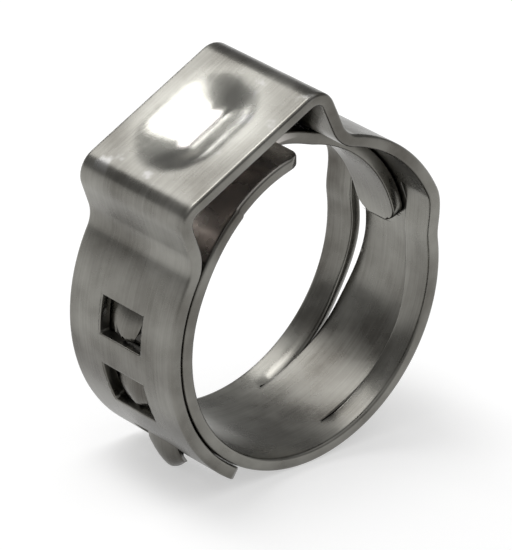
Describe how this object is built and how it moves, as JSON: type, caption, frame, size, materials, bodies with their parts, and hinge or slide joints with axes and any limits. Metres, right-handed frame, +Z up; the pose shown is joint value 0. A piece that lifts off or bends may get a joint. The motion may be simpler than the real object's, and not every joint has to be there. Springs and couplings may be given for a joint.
{
  "type": "ear hose clamp",
  "caption": "Stepless ear clamp of one coiled steel strip, with a raised ear, a tongue in a slotted channel, and hooks in windows.",
  "frame": {"origin": "middle of the bore, half way along the strip's width", "axes": "+Y along the bore, +Z up; the ear points up and a little towards -X, and the free end is low on the left"},
  "size_m": [0.0166, 0.007, 0.0182],
  "materials": {
    "strip": "dull mill finish"
  },
  "bodies": {
    "root": {"ear_hose_clamp": "strip"}
  },
  "joints": []
}
